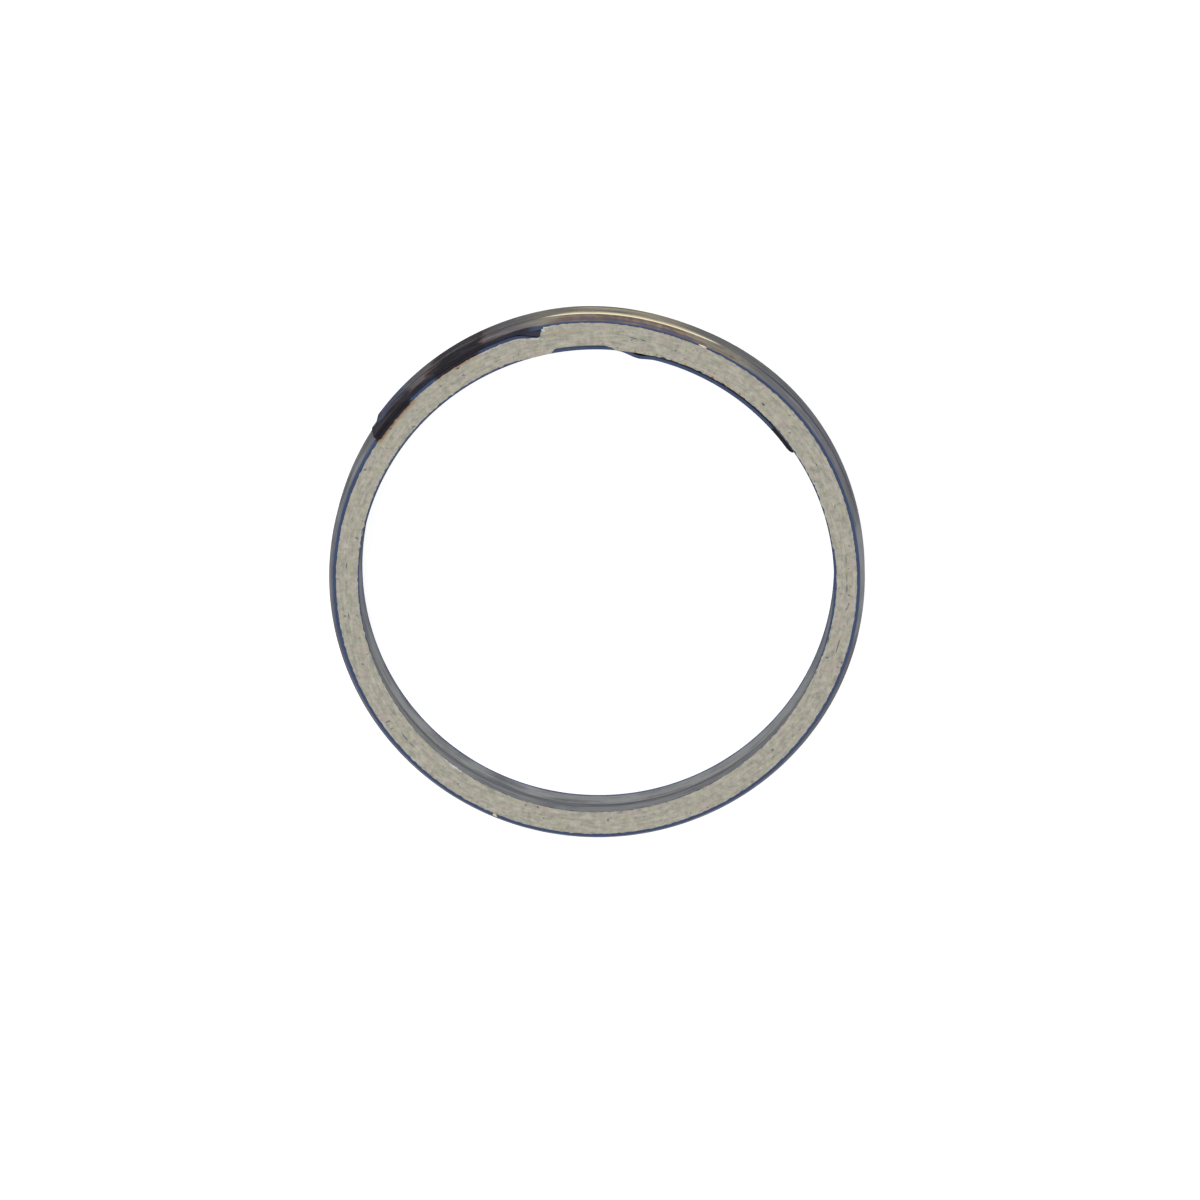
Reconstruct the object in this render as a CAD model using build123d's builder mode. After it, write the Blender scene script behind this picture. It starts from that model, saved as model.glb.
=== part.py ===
"""Spiral wound exhaust gasket.

A thin steel strip, rolled to a shallow W section, is wound three turns and a bit
into a ring, and a soft mineral filler strip is wound in with it for two of those
turns. Both ends of the steel are lapped metal to metal and spot welded.

The ring lies flat. The origin is at the centre of its bore, on the lower sealing
face, and angles run anticlockwise from +X as seen from above. All sizes are in mm.
"""

import os
from math import atan, cos, radians, sin

from build123d import *

# Ring
bore_diameter = 39.6
ring_height = 5.3

# Steel strip: its thickness, and its W section measured from the strip's edges
strip_thickness = 0.25
hump_rise = 0.46
hump_inset = 1.25
groove_rise = 0.33
edge_recess = 0.05

# Filler strip
filler_thickness = 0.67
filler_turns = 2

# Where steel lies on steel, the flanks stay this far apart between the welds
lap_clearance = 0.04

# Places along the winding, as angles seen from above
inner_end_angle = 33.2
step_start_angle = 79.0
step_end_angle = 86.4
filler_end_angle = 102.0
filler_start_angle = 103.5
climb_end_angle = 108.5
outer_end_angle = 147.2

# Ends of the steel strip
inner_corner_radius = 0.8
outer_end_slant = 1.3

# Spot welds: middle angle and half width of each, in degrees
inner_welds = [(37.4, 3.4)]
outer_welds = [(124.0, 4.0), (139.8, 4.0)]

# Worked out from the sizes above
bore_radius = bore_diameter / 2
middle = ring_height / 2
strip_low = edge_recess
strip_high = ring_height - edge_recess
flank_slope = hump_rise / hump_inset
groove_slope = (hump_rise - groove_rise) / (middle - strip_low - hump_inset)
flank_depth = strip_thickness / cos(atan(flank_slope))
groove_depth = strip_thickness / cos(atan(groove_slope))
lap_step = flank_depth + lap_clearance
pitch = flank_depth + filler_thickness
outer_step = filler_turns * pitch


def fold_line(depth, step=0.0, overrun=0.0):
    """Points of the W, from edge to edge, as (outward, upward) pairs.

    A depth of 0 is the face towards the bore, 0.5 the strip's middle and 1 its outer
    face. An overrun carries both flanks on past the strip's edges.
    """
    lean = depth * (flank_depth - groove_depth) / (flank_slope + groove_slope)
    edge = step + depth * flank_depth - flank_slope * overrun
    hump = step + hump_rise + depth * groove_depth + groove_slope * lean
    groove = step + groove_rise + depth * groove_depth
    return [
        (edge, strip_low - overrun),
        (hump, strip_low + hump_inset - lean),
        (groove, middle),
        (hump, strip_high - hump_inset + lean),
        (edge, strip_high + overrun),
    ]


def strip_outline(step=0.0):
    return fold_line(0, step) + fold_line(1, step)[::-1]


def filler_outline(layers):
    """Filler between two turns of the strip, proud of their edges on both sides."""
    return fold_line(1, 0, edge_recess) + fold_line(0, layers * pitch, edge_recess)[::-1]


def weld_outline():
    """From the middle of one turn to the middle of the turn lapped over it."""
    return fold_line(0.5)[1:-1] + fold_line(0.5, lap_step)[-2:0:-1]


def outward_of_strip():
    """All that lies outwards of a turn's face towards the bore, as far as the next."""
    face = fold_line(0, 0, middle)
    return face + [(outer_step, face[-1][1]), (outer_step, face[0][1])]


def polar(radius, angle):
    return Vector(radius * cos(radians(angle)), radius * sin(radians(angle)), 0)


def upright_plane(angle, step):
    """Plane that cuts the winding square: X points outwards and Y up."""
    return Plane(
        origin=polar(bore_radius + step, angle),
        x_dir=polar(1, angle),
        z_dir=polar(1, angle - 90),
    )


def cut_face(outline, angle, step, window=None):
    """Outline drawn across the winding at an angle, less a window if one is given."""
    with BuildSketch(upright_plane(angle, step)) as section:
        with BuildLine():
            Polyline(*outline, close=True)
        make_face()
        if window:
            with BuildLine():
                Polyline(*window, close=True)
            make_face(mode=Mode.SUBTRACT)
    return section.sketch


def wind(outline, start, end, step, window=None):
    """Carry an outline round the bore at one step outwards from it."""
    revolve(cut_face(outline, start, step, window), revolution_arc=end - start)


def ramp(outline, start, end, first_step, last_step, mode=Mode.ADD):
    """Carry an outline along a straight ramp from one step outwards to another."""
    first = cut_face(outline, start, first_step)
    last = cut_face(outline, end, last_step)
    loft([first.face(), last.face()], ruled=True, mode=mode)


# Inner end of the strip: a tail inside the first turn, with rounded corners
with BuildPart() as inner_tail:
    wind(strip_outline(), inner_end_angle, step_start_angle, -lap_step)
    end_view = Plane(
        origin=polar(bore_radius, inner_end_angle),
        x_dir=polar(1, inner_end_angle + 90),
        z_dir=polar(1, inner_end_angle + 180),
    )
    with BuildSketch(end_view):
        with Locations((0, middle)):
            Rectangle(2 * inner_corner_radius, 2 * ring_height)
        with Locations((2 * inner_corner_radius, middle)):
            RectangleRounded(
                4 * inner_corner_radius,
                strip_high - strip_low,
                inner_corner_radius,
                mode=Mode.SUBTRACT,
            )
    extrude(amount=outer_step, both=True, mode=Mode.SUBTRACT)

# Outer end of the strip: lapped over the last turn and cut on a slant
with BuildPart() as outer_lap:
    wind(strip_outline(), step_end_angle, outer_end_angle, outer_step + lap_step)
    along = polar(1, outer_end_angle + 90)
    cut_rise = along * outer_end_slant + Vector(0, 0, strip_high - strip_low)
    slanted_cut = Plane(
        origin=polar(bore_radius, outer_end_angle) + Vector(0, 0, strip_high),
        x_dir=polar(1, outer_end_angle),
        z_dir=cut_rise.cross(polar(1, outer_end_angle)),
    )
    split(bisect_by=slanted_cut, keep=Keep.BOTTOM)

# Steel strip, wound from its inner end outwards
with BuildPart() as winding_strip:
    add(inner_tail.part)
    ramp(strip_outline(), step_start_angle, step_end_angle, -lap_step, 0)
    wind(strip_outline(), step_end_angle, step_start_angle + 360, 0)
    for turn in range(filler_turns):
        step = turn * pitch
        lapped = step + lap_step
        filled = step + pitch
        ramp(strip_outline(), step_start_angle, step_end_angle, step, lapped)
        wind(strip_outline(), step_end_angle, filler_end_angle, lapped)
        ramp(strip_outline(), filler_end_angle, climb_end_angle, lapped, filled)
        wind(strip_outline(), climb_end_angle, step_start_angle + 360, filled)
    ramp(
        strip_outline(),
        step_start_angle,
        step_end_angle,
        outer_step,
        outer_step + lap_step,
    )
    add(outer_lap.part)
    for angle, half_width in inner_welds:
        wind(weld_outline(), angle - half_width, angle + half_width, -lap_step)
    for angle, half_width in outer_welds:
        wind(weld_outline(), angle - half_width, angle + half_width, outer_step)

# Start of the filler: a wedge crushed under the strip where that climbs onto it
with BuildPart() as filler_wedge:
    wind(filler_outline(1), filler_start_angle, climb_end_angle, 0)
    ramp(
        outward_of_strip(),
        filler_end_angle,
        climb_end_angle,
        lap_step,
        pitch,
        mode=Mode.SUBTRACT,
    )

# Filler strip: two layers, one each side of the middle turn, whose edges it covers
with BuildPart() as filler_strip:
    wind(
        filler_outline(filler_turns),
        climb_end_angle,
        step_start_angle + 360,
        0,
        window=strip_outline(pitch),
    )
    ramp(
        filler_outline(filler_turns), step_start_angle, step_end_angle, 0, lap_step
    )
    ramp(
        strip_outline(pitch),
        step_start_angle,
        step_end_angle,
        0,
        lap_step,
        mode=Mode.SUBTRACT,
    )
    wind(
        filler_outline(filler_turns),
        step_end_angle,
        filler_end_angle,
        lap_step,
        window=strip_outline(pitch),
    )
    ramp(filler_outline(1), filler_end_angle, climb_end_angle, lap_step, pitch)
    add(filler_wedge.part)

os.makedirs("parts", exist_ok=True)

winding_strip.part.label = "winding_strip"
export_step(winding_strip.part, "parts/winding_strip.step")

filler_strip.part.label = "filler_strip"
export_step(filler_strip.part, "parts/filler_strip.step")
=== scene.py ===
"""Spiral wound exhaust gasket.

A steel strip of shallow W section and a soft mineral filler strip are wound together
into a ring. One winding rule gives the place of both: how far from the ring's axis
the steel lies at each angle along it. Lengths are in metres and angles in radians.
"""

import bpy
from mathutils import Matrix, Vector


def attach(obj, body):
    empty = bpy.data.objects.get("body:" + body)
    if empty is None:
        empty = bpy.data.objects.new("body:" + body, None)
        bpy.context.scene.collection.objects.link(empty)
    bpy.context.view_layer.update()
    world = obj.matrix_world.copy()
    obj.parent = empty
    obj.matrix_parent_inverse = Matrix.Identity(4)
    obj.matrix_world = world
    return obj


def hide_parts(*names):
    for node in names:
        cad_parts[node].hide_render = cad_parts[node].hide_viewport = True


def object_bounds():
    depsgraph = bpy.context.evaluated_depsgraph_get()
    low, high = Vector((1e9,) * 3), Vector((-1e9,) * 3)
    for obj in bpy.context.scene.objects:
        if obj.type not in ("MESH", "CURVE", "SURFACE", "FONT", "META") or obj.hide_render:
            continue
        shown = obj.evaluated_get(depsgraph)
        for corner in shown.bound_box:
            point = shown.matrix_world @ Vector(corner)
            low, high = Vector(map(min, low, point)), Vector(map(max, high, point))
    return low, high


bl_info = {
    "name": "Spiral Wound Gasket",
    "version": (1, 0, 0),
    "blender": (4, 5, 0),
    "location": "3D View > Sidebar > Gasket",
    "description": "Winds the steel and filler strips of an exhaust gasket",
    "category": "Add Mesh",
}

from math import atan, cos, radians, sin, tau

import bmesh
import bpy
import numpy as np
from mathutils import Color, Matrix, Vector, noise

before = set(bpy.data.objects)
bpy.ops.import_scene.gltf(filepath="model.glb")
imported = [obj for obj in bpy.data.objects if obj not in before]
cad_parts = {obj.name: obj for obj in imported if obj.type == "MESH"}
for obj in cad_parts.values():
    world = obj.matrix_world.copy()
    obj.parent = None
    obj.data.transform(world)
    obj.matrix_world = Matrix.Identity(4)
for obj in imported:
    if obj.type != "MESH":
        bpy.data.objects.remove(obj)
cad_low, cad_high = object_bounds()
MM = 0.001

# Steps in which each strip is wound
STEEL_SEGMENTS = 1500
FILLER_SEGMENTS = 1440
# Steps in which each fold of the section is rounded
FOLD_STEPS = 5
# Millimetres along the strips' UV maps for each radian of winding
MAP_RADIUS = 21.0
# Where the outer face starts across the steel's UV map, in millimetres
OUTER_FACE = 8.0


def length(name, description, millimetres):
    return bpy.props.FloatProperty(
        name=name,
        description=description,
        default=millimetres * MM,
        min=0.0,
        precision=5,
        subtype="DISTANCE",
        unit="LENGTH",
    )


def angle(name, description, degrees):
    return bpy.props.FloatProperty(
        name=name,
        description=description,
        default=radians(degrees),
        subtype="ANGLE",
        unit="ROTATION",
    )


def amount(name, description, value):
    return bpy.props.FloatProperty(
        name=name, description=description, default=value, min=0.0
    )


def colour(name, description, value):
    return bpy.props.FloatVectorProperty(
        name=name,
        description=description,
        default=value,
        min=0.0,
        max=1.0,
        size=3,
        subtype="COLOR",
    )


class GasketWinding(bpy.types.PropertyGroup):
    """Sizes and places that both strips share"""

    bore_diameter: length("Bore", "Diameter inside the first full turn", 39.6)
    ring_height: length(
        "Height", "From one sealing face to the other", (cad_high.z - cad_low.z) / MM
    )
    lap_clearance: length("Lap clearance", "Between steel turns that lie in contact", 0.04)
    inner_end: angle("Inner end", "Where the steel starts", 34.0)
    step_start: angle("Step start", "Where the turns start to step over the tail", 79.0)
    step_end: angle("Step end", "Where that step is done", 86.4)
    step_spread: angle("Step spread", "How much the step stretches, turn by turn", 2.4)
    climb_start: angle("Climb start", "Where the steel starts to climb on the filler", 102.0)
    climb_end: angle("Climb end", "Where it lies on the filler's full thickness", 108.5)
    outer_end: angle("Outer end", "Where the steel ends, in its fourth turn", 146.4)
    bulge: length("Bulge", "How far the tail bulges inwards before the step", 0.15)
    bulge_place: angle("Bulge place", "Where it bulges most", 79.9)
    bulge_reach: angle("Bulge reach", "From there to where the bulge is gone", 4.6)
    oval: length("Oval", "How far the ring is out of round, each way", 0.06)
    oval_place: angle("Oval place", "Where it is widest", 62.6)
    lift: length("Lift", "How far the last turn stands off before its step", 0.14)
    lift_place: angle("Lift place", "Where it stands off most", 40.0)
    lift_reach: angle("Lift reach", "From there to where it lies close again", 34.0)


class GasketSteel(bpy.types.PropertyGroup):
    """The steel strip and its heat colours"""

    thickness: length("Thickness", "Of the sheet", 0.25)
    hump_rise: length("Hump rise", "How far the humps stand out from the edges", 0.46)
    hump_inset: length("Hump inset", "From each edge to its hump's crest", 1.25)
    groove_rise: length("Groove rise", "How far the groove stands out from the edges", 0.33)
    edge_recess: length("Edge recess", "From the sealing faces in to the edges", 0.05)
    bend_radius: length("Bend radius", "Inside radius of the rolled folds", 0.5)
    corner_radius: length("Corner radius", "Of the inner end's corners", 0.8)
    outer_slant: length("Outer slant", "How far the outer end's cut leans back", 1.3)
    # Height of the painted shade line along the outer wall
    crease: length("Crease", "Height of the dark line on the outer wall", 3.85)
    bright: colour("Bright steel", "Where heat has hardly touched it", (0.25, 0.255, 0.255))
    bare: colour("Dull steel", "Where heat has left it grey", (0.125, 0.13, 0.145))
    olive: colour("Olive", "Mildest heat colour", (0.23, 0.217, 0.177))
    brown: colour("Brown", "Middling heat colour", (0.17, 0.128, 0.1))
    purple: colour("Purple", "Hotter than brown", (0.115, 0.1, 0.12))
    navy: colour("Navy", "Heat colour of the edges", (0.075, 0.1, 0.205))
    teal: colour("Teal", "Patches in the navy", (0.095, 0.15, 0.205))
    # Singe, burn and scald colour the soot, and also the painted shade in the wedge; scald
    # also colours the painted shade line on the outer wall
    singe_and_shade: colour("Singe", "Red brown round the soot", (0.085, 0.052, 0.04))
    burn_and_shade: colour("Burn", "Soot at the spot welds", (0.015, 0.014, 0.017))
    scald_and_shade: colour("Scald", "Blue streaks in the soot", (0.04, 0.043, 0.066))
    # Gilt: rubbed metal on the hump's crest, painted as a bright gold highlight, and the
    # painted sheen between the humps
    gilt_highlight: colour("Gilt", "Rubbed crest of the hump", (0.95, 0.83, 0.54))
    # Glint: painted white highlights on the rim's edge
    glint: colour("Glint", "Fresh nicks in the rim", (0.85, 0.87, 0.9))
    edge_tint: colour("Edge tint", "Reflection at a glancing angle", (0.42, 0.42, 0.44))


class GasketFiller(bpy.types.PropertyGroup):
    """The mineral filler strip and its colours"""

    thickness: length("Thickness", "Of the wound strip", 0.67)
    roughness_depth: length("Roughness", "Depth of the pits in its faces", 0.045)
    sink_depth: length("Sink depth", "How far its crushed outer end lies down", 0.2)
    pale: colour("Pale", "Lightest clay of the faces", (0.5, 0.475, 0.4))
    dull: colour("Dull", "Darkest clay of the faces", (0.265, 0.255, 0.22))
    lime: colour("Lime", "Faint yellow green patches", (0.4, 0.41, 0.26))
    blush: colour("Blush", "Faint pink patches", (0.44, 0.36, 0.33))
    chalk: colour("Chalk", "Crushed, powdery rims", (0.68, 0.68, 0.66))
    rust: colour("Rust", "Stain beside the welds", (0.32, 0.19, 0.08))
    # Grime: specks, scorched rims and the painted shade over the sunk outer end
    grime_and_shade: colour("Grime", "Specks and scorched rims", (0.045, 0.047, 0.07))


class GasketStage(bpy.types.PropertyGroup):
    """Camera, lights and floor"""

    tilt: angle("Tilt", "Camera's tilt from the ring's axis", 14.4)
    swing: angle("Swing", "Which way it tilts, from +Y towards +X", 6.0)
    distance: length("Distance", "From the camera to the ring", 665.5)
    lens: bpy.props.FloatProperty(
        name="Lens",
        description="Focal length in millimetres on a 36 mm sensor",
        default=240.0,
        min=1.0,
        subtype="DISTANCE_CAMERA",
    )
    aim: bpy.props.FloatVectorProperty(
        name="Aim",
        description="Point at the middle of the picture",
        default=(0.000318, -0.001414, 0.005652),
        size=3,
        subtype="XYZ",
        unit="LENGTH",
    )
    sky: amount("Sky", "How strongly the white sky lights the ring", 0.62)
    floor: colour("Floor", "Pale floor", (0.8, 0.8, 0.8))
    glow: amount("Glow", "How far the floor glows where camera or steel sees it", 0.62)


class NodeSheet:
    """Adds nodes to a tree, each with its values and links in one call."""

    def __init__(self, tree):
        self.tree = tree

    def add(self, kind, values=None, **settings):
        node = self.tree.nodes.new(kind)
        for name, setting in settings.items():
            setattr(node, name, setting)
        for socket, value in (values or {}).items():
            if isinstance(value, bpy.types.NodeSocket):
                self.tree.links.new(value, node.inputs[socket])
            elif isinstance(value, Color):
                node.inputs[socket].default_value = (*value, 1.0)
            else:
                node.inputs[socket].default_value = value
        return node

    def output(self, kind, values=None, **settings):
        """First output of a new node."""
        return self.add(kind, values, **settings).outputs[0]

    def math(self, operation, first, second=0.0):
        return self.output("ShaderNodeMath", {0: first, 1: second}, operation=operation)

    def plus(self, value, other, share):
        """A value with a share of another one added."""
        return self.math("ADD", value, self.math("MULTIPLY", other, share))

    def vector(self, operation, values):
        return self.output("ShaderNodeVectorMath", values, operation=operation)

    def ramp(self, value, low, high, low_to=0.0, high_to=1.0):
        """Smooth change of a value between two limits."""
        values = {0: value, 1: low, 2: high, 3: low_to, 4: high_to}
        return self.output("ShaderNodeMapRange", values, interpolation_type="SMOOTHSTEP")

    def attribute(self, name):
        """A number stored on the mesh, in a geometry tree or in a material."""
        if self.tree.type == "GEOMETRY":
            kind = "GeometryNodeInputNamedAttribute"
            return self.output(kind, {0: name}, data_type="FLOAT")
        return self.add("ShaderNodeAttribute", attribute_name=name).outputs["Fac"]

    def blend(self, share, first, second):
        """Mix of two colours."""
        values = {0: share, 6: first, 7: second}
        return self.add("ShaderNodeMix", values, data_type="RGBA").outputs[2]

    def cover(self, tint, paint, value, low, high, most=1.0):
        """Lay a colour over a tint, as a value goes from low to high."""
        return self.blend(self.ramp(value, low, high, 0.0, most), tint, paint)

    def about_nought(self, noise_value, strength):
        """Noise that averages a half, moved to average nought."""
        return self.math("MULTIPLY", self.math("SUBTRACT", noise_value, 0.5), strength)

    def grain(self, where, scale, detail, roughness, stretch=(1.0, 1.0, 1.0)):
        """Noise at a place, stretched along its axes."""
        place = self.output("ShaderNodeMapping", {0: where, 3: stretch})
        values = {"Vector": place, "Scale": scale, "Detail": detail}
        return self.output("ShaderNodeTexNoise", {**values, "Roughness": roughness})

    def finish(self, output, relief, looks):
        """Join a shader with a fine relief to the material's output."""
        looks = {**looks, "Normal": self.output("ShaderNodeBump", relief)}
        shader = self.output("ShaderNodeBsdfPrincipled", looks)
        self.tree.links.new(shader, output.inputs[0])


def new_group(name, inputs, outputs):
    """Empty geometry tree with named inputs and outputs, each of a kind of socket."""
    tree = bpy.data.node_groups.new(name, "GeometryNodeTree")
    for way, sockets in (("INPUT", inputs), ("OUTPUT", outputs)):
        for label, kind in sockets.items():
            tree.interface.new_socket(label, in_out=way, socket_type="NodeSocket" + kind)
    source = tree.nodes.new("NodeGroupInput").outputs
    target = tree.nodes.new("NodeGroupOutput").inputs
    return NodeSheet(tree), source, target


# Sizes of the winding that its rule reads, and the sockets that carry them
RULE_PLACES = [
    "step_start", "step_end", "step_spread", "climb_start", "climb_end",
    "bulge", "bulge_place", "bulge_reach", "oval", "oval_place",
    "lift", "lift_place", "lift_reach",
]


def socket_label(name):
    return name.replace("_", " ").title()


RULE_SIZES = {"Bore Radius": "Float", "Lap Step": "Float", "Pitch": "Float"}
RULE_SIZES.update({socket_label(name): "Float" for name in RULE_PLACES})


def build_winding_rule():
    """Node group that gives the steel's distance from the ring's axis at an angle.

    Every turn steps outwards by one lap where it passes over the tail, and the second
    and third then climb onto the filler. The step stretches from turn to turn, the
    tail's bulge fades, and the last full turn stands off a little. All the turns are
    slightly oval.
    """
    inputs = {"Angle": "Float", **RULE_SIZES}
    sheet, given, result = new_group("Winding Rule", inputs, {"Radius": "Float"})
    radius = sheet.math("SUBTRACT", given["Bore Radius"], given["Lap Step"])
    climb_rise = sheet.math("SUBTRACT", given["Pitch"], given["Lap Step"])
    from_widest = sheet.math("SUBTRACT", given["Angle"], given["Oval Place"])
    lobes = sheet.math("COSINE", sheet.math("MULTIPLY", from_widest, 2.0))
    radius = sheet.plus(radius, lobes, given["Oval"])

    def swelling(label, share):
        """Changes that lead out to a swelling and back."""
        middle, reach = given[label + " Place"], given[label + " Reach"]
        outwards = sheet.math("MULTIPLY", given[label], share)
        back = sheet.math("MULTIPLY", outwards, -1.0)
        return [
            (sheet.math("SUBTRACT", middle, reach), middle, outwards),
            (middle, sheet.math("ADD", middle, reach), back),
        ]

    # Each turn's bulge is this share of the one inside it
    bulge_share = 0.4
    for turn in range(4):
        stretch = sheet.math("MULTIPLY", given["Step Spread"], turn * (turn + 1) / 2)
        step_start = sheet.math("SUBTRACT", given["Step Start"], stretch)
        step_end = sheet.math("ADD", given["Step End"], stretch)
        changes = [(step_start, step_end, given["Lap Step"])]
        if turn in (1, 2):
            changes.append((given["Climb Start"], given["Climb End"], climb_rise))
        if turn < 3:
            changes += swelling("Bulge", -(bulge_share**turn))
        if turn == 3:
            changes += swelling("Lift", 1.0)
        for start, end, gain in changes:
            first = sheet.math("ADD", start, turn * tau)
            last = sheet.math("ADD", end, turn * tau)
            change = sheet.ramp(given["Angle"], first, last, 0.0, gain)
            radius = sheet.math("ADD", radius, change)
    sheet.tree.links.new(radius, result["Radius"])
    return sheet.tree


def build_winding_tree(rule):
    """Geometry tree that winds a section round the ring by the winding rule.

    Points of the section with a side of 1 keep to the next turn outwards, so the
    section thins where the two turns close up.
    """
    inputs = {
        "Geometry": "Geometry",
        "Section": "Object",
        "Material": "Material",
        "First Angle": "Float",
        "Last Angle": "Float",
        "Segments": "Int",
        "Middle Height": "Float",
        **RULE_SIZES,
    }
    sheet, given, result = new_group("Strip Winding", inputs, {"Geometry": "Geometry"})
    rule_sizes = {label: given[label] for label in RULE_SIZES}

    def radius_at(wound_angle):
        values = {"Angle": wound_angle, **rule_sizes}
        return sheet.output("GeometryNodeGroup", values, node_tree=rule)

    index = sheet.output("GeometryNodeInputIndex")
    whole = sheet.math("SUBTRACT", given["Last Angle"], given["First Angle"])
    share = sheet.math("DIVIDE", index, given["Segments"])
    wound = sheet.plus(given["First Angle"], whole, share)
    radius = radius_at(wound)
    heading = {0: sheet.math("COSINE", wound), 1: sheet.math("SINE", wound)}
    outward = sheet.output("ShaderNodeCombineXYZ", heading)
    scaled = sheet.vector("SCALE", {0: outward, "Scale": radius})
    lifted = sheet.output("ShaderNodeCombineXYZ", {2: given["Middle Height"]})
    place = sheet.vector("ADD", {0: scaled, 1: lifted})

    # The path, with its angle and the room that the next turn takes away
    count = sheet.math("ADD", given["Segments"], 1.0)
    line = sheet.output("GeometryNodeMeshLine", {"Count": count})
    path = sheet.output("GeometryNodeMeshToCurve", {0: line})
    path = sheet.output("GeometryNodeSetPosition", {0: path, "Position": place})
    next_turn = radius_at(sheet.math("ADD", wound, tau))
    room = sheet.math("SUBTRACT", next_turn, radius)
    room = sheet.math("SUBTRACT", room, given["Pitch"])
    for name, value in (("wound", wound), ("room", room)):
        stored = {"Geometry": path, "Name": name, "Value": value}
        path = sheet.output("GeometryNodeStoreNamedAttribute", stored, data_type="FLOAT")
    path = sheet.output("GeometryNodeSetCurveNormal", {0: path}, mode="Z_UP")

    # The section, with its folds rounded
    outline = sheet.add("GeometryNodeObjectInfo", {"Object": given["Section"]})
    section = sheet.output("GeometryNodeMeshToCurve", {0: outline.outputs["Geometry"]})
    folds = {"Curve": section, "Count": FOLD_STEPS, "Radius": sheet.attribute("bend")}
    section = sheet.output("GeometryNodeFilletCurve", folds, mode="POLY")
    carried = {"Curve": path, "Profile Curve": section}
    swept = sheet.output("GeometryNodeCurveToMesh", carried)

    # Thin the section where the turns close up
    here = sheet.output("GeometryNodeInputPosition")
    flat = sheet.vector("MULTIPLY", {0: here, 1: (1.0, 1.0, 0.0)})
    unit = sheet.vector("NORMALIZE", {0: flat})
    taken = sheet.math("MULTIPLY", sheet.attribute("side"), sheet.attribute("room"))
    offset = sheet.vector("SCALE", {0: unit, "Scale": taken})
    swept = sheet.output("GeometryNodeSetPosition", {0: swept, "Offset": offset})
    whole_mesh = sheet.output("GeometryNodeRealizeInstances", {0: swept})
    finished = {0: whole_mesh, "Material": given["Material"]}
    finished = sheet.output("GeometryNodeSetMaterial", finished)
    sheet.tree.links.new(finished, result["Geometry"])
    return sheet.tree


def link_object(name, data):
    thing = bpy.data.objects.new(name, data)
    bpy.context.scene.collection.objects.link(thing)
    return thing


def add_mesh(name, points, edges=(), faces=()):
    mesh = bpy.data.meshes.new(name)
    mesh.from_pydata(points, edges, faces)
    return link_object(name, mesh)


def add_section(name, points, numbers):
    """Closed outline as a loop of edges, with the named numbers of each point.

    The winding's path lays a section's second axis downwards.
    """
    places = [(outward, -upward, 0.0) for outward, upward in points]
    loop = [(i, (i + 1) % len(points)) for i in range(len(points))]
    section = add_mesh(name, places, loop)
    for label, values in numbers.items():
        store_numbers(section.data, label, values)
    return section


def read_numbers(mesh, name):
    values = np.zeros(len(mesh.vertices))
    mesh.attributes[name].data.foreach_get("value", values)
    return values


def store_numbers(mesh, name, values):
    layer = mesh.attributes.new(name, "FLOAT", "POINT")
    layer.data.foreach_set("value", np.ascontiguousarray(values, np.float32))


def read_places(mesh):
    places = np.zeros(len(mesh.vertices) * 3)
    mesh.vertices.foreach_get("co", places)
    return places.reshape(-1, 3)


def store_places(mesh, places):
    mesh.vertices.foreach_set("co", np.ascontiguousarray(places, np.float32).ravel())
    mesh.update()


def store_map(mesh, along, across):
    """UV map in millimetres: along the winding, and across it."""
    corners = np.zeros(len(mesh.loops), np.int32)
    mesh.loops.foreach_get("vertex_index", corners)
    layer = mesh.uv_layers.new(name="Winding")
    flat = np.stack([along[corners], across[corners]], axis=1)
    layer.uv.foreach_set("vector", np.ascontiguousarray(flat, np.float32).ravel())


def rise(values, start, end):
    """0 before the start, rising smoothly to 1 at the end."""
    t = np.clip((values - start) / (end - start), 0.0, 1.0)
    return t * t * (3.0 - 2.0 * t)


def bump(values, middle, half_width, fade):
    """1 within a half width of the middle, falling smoothly to 0 over the fade."""
    return 1.0 - rise(np.abs(values - middle), half_width, half_width + fade)


def arc(around, middle, half_width, fade):
    """The same for angles in degrees, which start again after a full turn."""
    away = (around - middle + 180.0) % 360.0 - 180.0
    return bump(away, 0.0, half_width, fade)


def round_ring(around, stops):
    """Value at each angle, between given stops of (degrees, value)."""
    places, values = zip(*stops)
    return np.interp(around, places, values, period=360.0)


def strongest(masks):
    """The highest of several numbers at each point."""
    return np.max(list(masks), axis=0)


def wander(along, across, seed):
    """Smooth noise from -1 to 1 over a strip: along it and across it."""
    places = zip(*np.broadcast_arrays(along, across))
    return np.array([noise.noise(Vector((x, y, seed))) for x, y in places])


def circle_angle(wound):
    """Angle seen from above, in degrees from 0 to 360."""
    return np.degrees(wound) % 360.0


def smooth_shade(thing, sharp_from):
    """Smooth faces, with sharp edges where they meet at more than an angle."""
    mesh = thing.data
    mesh.shade_smooth()
    mesh.set_sharp_from_angle(angle=sharp_from)


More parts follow.
